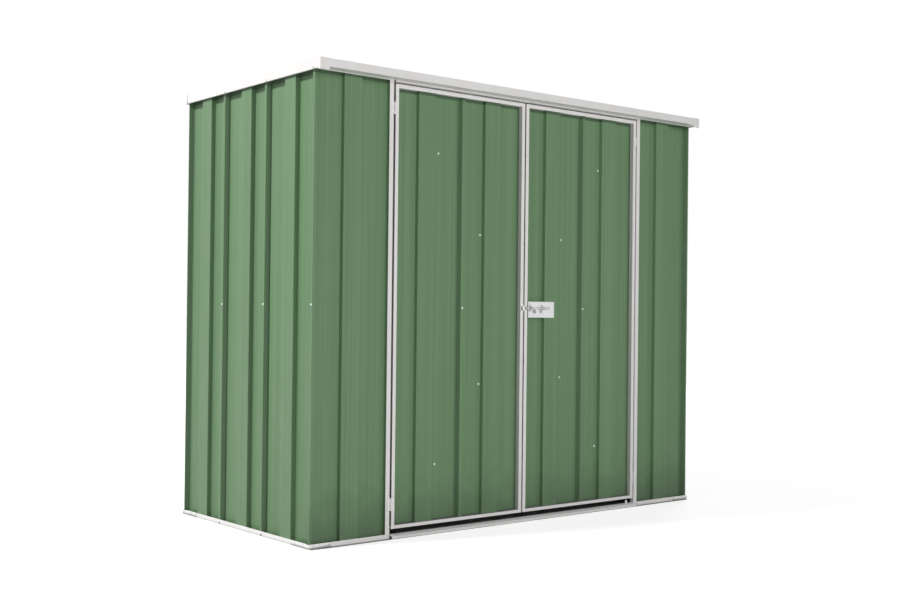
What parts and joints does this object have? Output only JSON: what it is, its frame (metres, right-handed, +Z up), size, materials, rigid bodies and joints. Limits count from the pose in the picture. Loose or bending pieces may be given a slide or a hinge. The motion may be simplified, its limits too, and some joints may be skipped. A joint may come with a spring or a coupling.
{
  "type": "metal garden shed",
  "caption": "Near-flat-roofed garden shed of green ribbed steel sheets in white folded channels, with a pair of outward-opening doors and a pad bolt.",
  "frame": {"origin": "on the ground at the centre of the overall box", "axes": "+X to the right seen from the front, +Y from the doors to the back, +Z up"},
  "size_m": [2.183, 1.1406, 1.8855],
  "materials": {
    "sheet_green": "satin green factory coat",
    "trim_white": "satin off-white coat",
    "zinc_steel": "dull zinc"
  },
  "bodies": {
    "shed": {"left_wall": "sheet_green", "right_wall": "sheet_green", "back_wall": "sheet_green", "front_left_panel": "sheet_green", "front_right_panel": "sheet_green", "roof_sheets": "sheet_green", "base_left": "trim_white", "base_right": "trim_white", "base_back": "trim_white", "base_front": "trim_white", "door_sill": "trim_white", "sill_stop": "zinc_steel", "base_brackets": "zinc_steel", "top_rail_left": "trim_white", "top_rail_right": "trim_white", "top_rail_back": "trim_white", "top_rail_front": "trim_white", "door_header": "trim_white", "mid_rail_left": "zinc_steel", "mid_rail_right": "zinc_steel", "mid_rail_back": "zinc_steel", "left_post": "trim_white", "right_post": "trim_white", "front_fascia": "trim_white", "left_barge": "trim_white", "right_barge": "trim_white", "back_eave": "trim_white", "fascia_caps": "trim_white", "post_hinges": "trim_white"},
    "left_door": {"left_door_sheets": "sheet_green", "left_door_hinge_stile": "trim_white", "left_door_lock_stile": "trim_white", "left_door_rails": "trim_white", "left_door_braces": "zinc_steel", "left_door_hinges": "trim_white", "bolt_keeper": "zinc_steel"},
    "right_door": {"right_door_sheets": "sheet_green", "right_door_hinge_stile": "trim_white", "right_door_lock_stile": "trim_white", "right_door_rails": "trim_white", "right_door_braces": "zinc_steel", "right_door_hinges": "trim_white", "lock_plate": "trim_white", "padlock_eye": "zinc_steel", "bolt_straps": "zinc_steel"},
    "lock_bolt": {"lock_bolt": "zinc_steel"}
  },
  "joints": [
    {"name": "left_door_hinge", "type": "hinge", "parent": "shed", "child": "left_door", "pos_m": [-0.7045, -0.51735, 0.139], "axis": [0, 0, -1], "range_deg": [0, 155]},
    {"name": "right_door_hinge", "type": "hinge", "parent": "shed", "child": "right_door", "pos_m": [0.7045, -0.51735, 0.139], "axis": [0, 0, 1], "range_deg": [0, 155]},
    {"name": "bolt_slide", "type": "slide", "parent": "right_door", "child": "lock_bolt", "axis": [-1, 0, 0], "range_m": [0, 0.03]}
  ]
}
